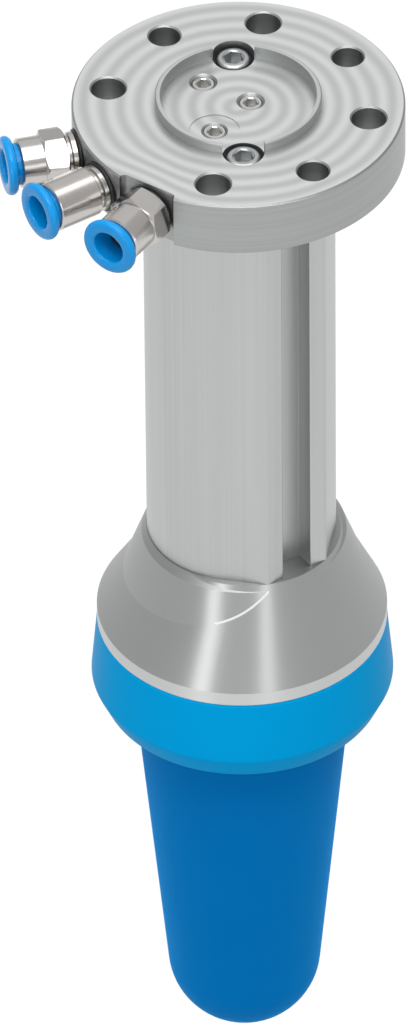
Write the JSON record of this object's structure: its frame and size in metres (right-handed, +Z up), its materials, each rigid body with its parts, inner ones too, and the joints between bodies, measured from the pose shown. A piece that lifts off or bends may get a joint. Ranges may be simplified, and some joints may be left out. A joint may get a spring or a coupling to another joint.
{
  "type": "adaptive shape gripper",
  "caption": "Pneumatic gripper whose tapered silicone cap turns inside out over a work piece when its cylinder pulls the tip up; round robot flange, push-in air fittings.",
  "frame": {"origin": "centre of the flange's mounting face, where the centring collar's axis meets it", "axes": "+Z up to the robot along the gripper's axis, the cap hangs along -Z; the sensor slot faces -Y and the middle air fitting points along -X"},
  "size_m": [0.0772, 0.063, 0.2284],
  "materials": {
    "milled_aluminium": "face milled, satin, with fine tool marks",
    "turned_aluminium": "fine turned, satin",
    "drawn_aluminium": "drawn and clear anodised, satin",
    "screw_steel": "zinc plated steel",
    "plug_steel": "bright nickel plated",
    "rod_chrome": "hard chromed and polished",
    "fitting_nickel": "turned brass, nickel plated",
    "collet_steel": "stamped stainless steel",
    "seal_rubber": "black nitrile rubber",
    "magnet": "plastic bonded magnet",
    "guide_plastic": "slippery white plastic",
    "bush_bronze": "sintered bronze",
    "insert_brass": "turned brass",
    "release_blue": "glossy blue plastic",
    "ring_blue": "smooth light blue plastic",
    "cap_blue": "soft translucent blue silicone, matt"
  },
  "bodies": {
    "housing": {"robot_flange": "milled_aluminium", "cone_housing": "turned_aluminium", "cylinder_barrel": "drawn_aluminium", "flange_screws": "screw_steel", "housing_screws": "screw_steel", "gland_circlip": "screw_steel", "channel_plugs": "plug_steel", "left_fitting_body": "fitting_nickel", "middle_fitting_body": "fitting_nickel", "right_fitting_body": "fitting_nickel", "left_collet": "collet_steel", "middle_collet": "collet_steel", "right_collet": "collet_steel", "left_outer_seal": "seal_rubber", "middle_outer_seal": "seal_rubber", "right_outer_seal": "seal_rubber", "left_tube_seal": "seal_rubber", "middle_tube_seal": "seal_rubber", "right_tube_seal": "seal_rubber", "upper_barrel_seal": "seal_rubber", "lower_barrel_seal": "seal_rubber", "rod_seal": "seal_rubber", "rod_wiper": "seal_rubber", "upper_bumper": "seal_rubber", "lower_bumper": "seal_rubber", "rod_bush": "bush_bronze", "clamping_ring": "ring_blue", "silicone_cap": "cap_blue"},
    "rod": {"piston": "turned_aluminium", "lower_piston_seal": "seal_rubber", "upper_piston_seal": "seal_rubber", "piston_magnet": "magnet", "piston_guide_band": "guide_plastic", "piston_nut": "screw_steel", "piston_rod": "rod_chrome", "rod_locknut": "screw_steel", "tip_insert": "insert_brass"},
    "left_ring": {"left_release_ring": "release_blue"},
    "middle_ring": {"middle_release_ring": "release_blue"},
    "right_ring": {"right_release_ring": "release_blue"}
  },
  "joints": [
    {"name": "rod_slide", "type": "slide", "parent": "housing", "child": "rod", "axis": [0, 0, 1], "range_m": [0, 0.066], "deforming": ["silicone_cap"]},
    {"name": "left_release", "type": "slide", "parent": "housing", "child": "left_ring", "axis": [0.9426, -0.3338, 0], "range_m": [0, 0.001], "stiffness_N_per_m": 800, "springref_m": -0.0005},
    {"name": "middle_release", "type": "slide", "parent": "housing", "child": "middle_ring", "axis": [1, 0, 0], "range_m": [0, 0.001], "stiffness_N_per_m": 800, "springref_m": -0.0005},
    {"name": "right_release", "type": "slide", "parent": "housing", "child": "right_ring", "axis": [0.9272, 0.3746, 0], "range_m": [0, 0.001], "stiffness_N_per_m": 800, "springref_m": -0.0005}
  ]
}
